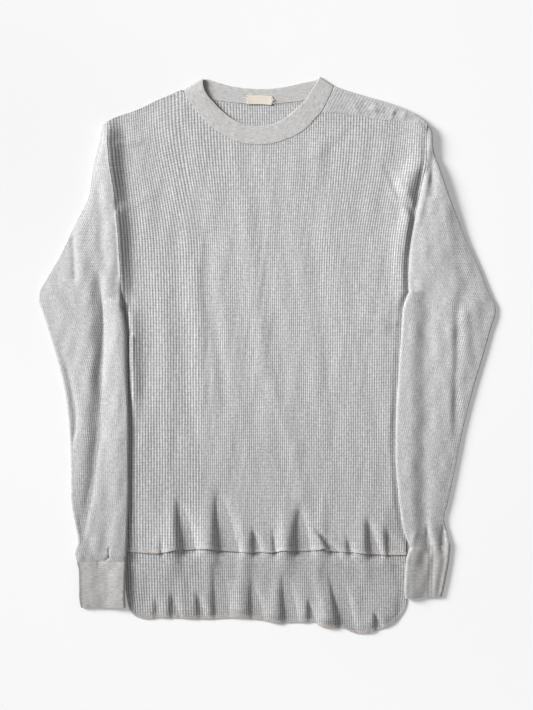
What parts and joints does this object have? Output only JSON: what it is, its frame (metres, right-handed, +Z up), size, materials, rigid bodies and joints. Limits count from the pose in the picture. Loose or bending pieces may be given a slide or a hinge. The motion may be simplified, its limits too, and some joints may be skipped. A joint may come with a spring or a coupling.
{
  "type": "thermal top",
  "caption": "Long-sleeved crew-neck waffle-knit thermal top laid flat, sleeves folded down along the sides, with a back hem that drops below the front hem.",
  "frame": {"origin": "on the surface that the top lies on, under the middle of its outline", "axes": "+Z up out of the surface, +Y from the hem to the neck, +X towards the wearer's left sleeve, which is at the right when seen from above"},
  "size_m": [0.6405, 0.7791, 0.0177],
  "materials": {
    "waffle_knit": "heather grey waffle knit, matt",
    "plain_jersey": "heather grey plain jersey, matt",
    "label_tape": "ecru woven cotton tape, bare"
  },
  "bodies": {
    "root": {"back": "waffle_knit", "front": "waffle_knit", "sleeve_right": "waffle_knit", "sleeve_left": "waffle_knit", "cuff_right": "plain_jersey", "cuff_left": "plain_jersey", "neckband": "plain_jersey", "label": "label_tape"}
  },
  "joints": []
}
